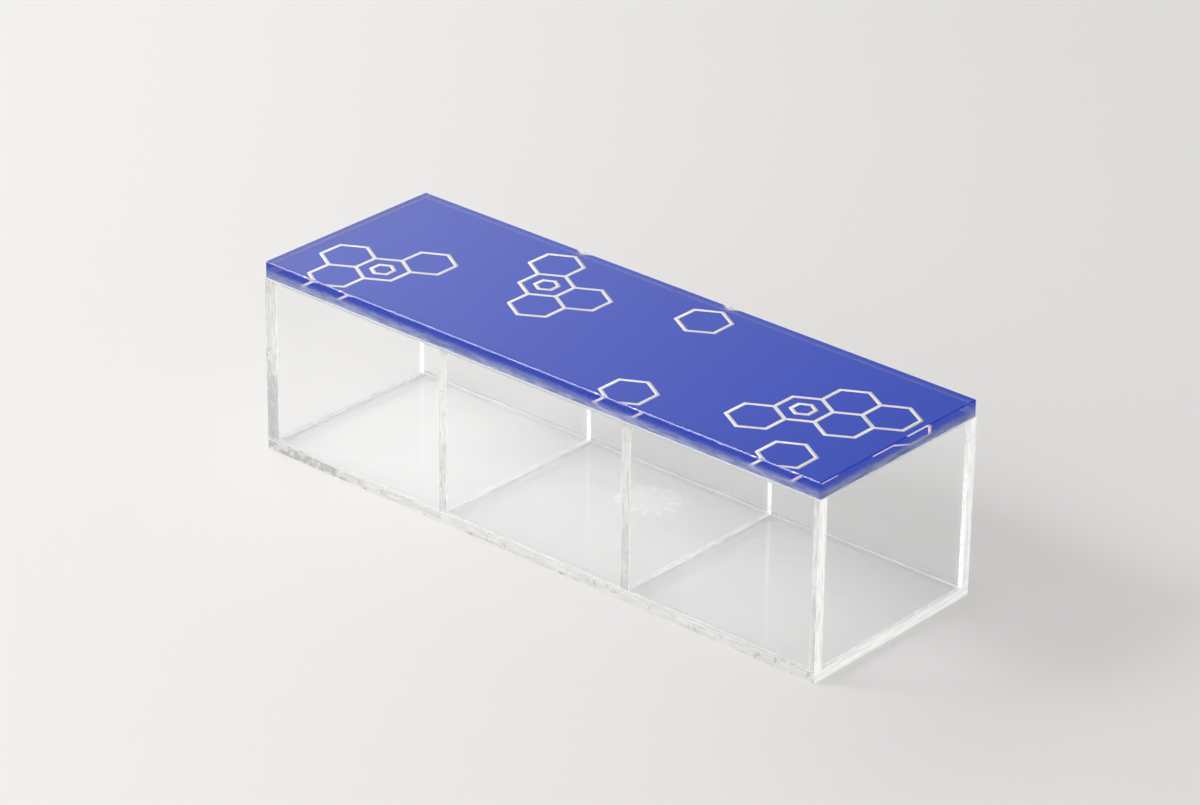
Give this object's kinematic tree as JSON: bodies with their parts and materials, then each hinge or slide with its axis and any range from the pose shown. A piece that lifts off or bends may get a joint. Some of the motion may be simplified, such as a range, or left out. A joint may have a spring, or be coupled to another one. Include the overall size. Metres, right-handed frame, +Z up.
{
  "type": "compartment box with lift-off lid",
  "caption": "Long clear acrylic box with equal compartments in a row and a flat lift-off lid, printed blue with pale hexagon outlines on its underside.",
  "frame": {"origin": "centre of the underside of the base plate, on the surface that the box stands on", "axes": "+X along the length, to the right seen from the front; +Y from the front wall to the back wall; +Z up"},
  "size_m": [0.207, 0.068, 0.0607],
  "materials": {
    "clear_sheet": "clear cast acrylic, polished faces, sawn edges",
    "clear_lid_sheet": "clear cast acrylic, polished faces, sawn edges",
    "blue_print": "printed ink, seen through the clear lid",
    "pale_print": "printed ink, seen through the clear lid"
  },
  "bodies": {
    "box": {"base_plate": "clear_sheet", "front_wall": "clear_sheet", "back_wall": "clear_sheet", "left_end_wall": "clear_sheet", "right_end_wall": "clear_sheet", "divider_1": "clear_sheet", "divider_2": "clear_sheet"},
    "lid": {"lid_plate": "clear_lid_sheet", "lid_locating_plate": "clear_lid_sheet", "lid_blue_print": "blue_print", "lid_line_print": "pale_print"}
  },
  "joints": [
    {"name": "lid_lift", "type": "slide", "parent": "box", "child": "lid", "axis": [0, 0, 1], "range_m": [0, 0.08]}
  ]
}
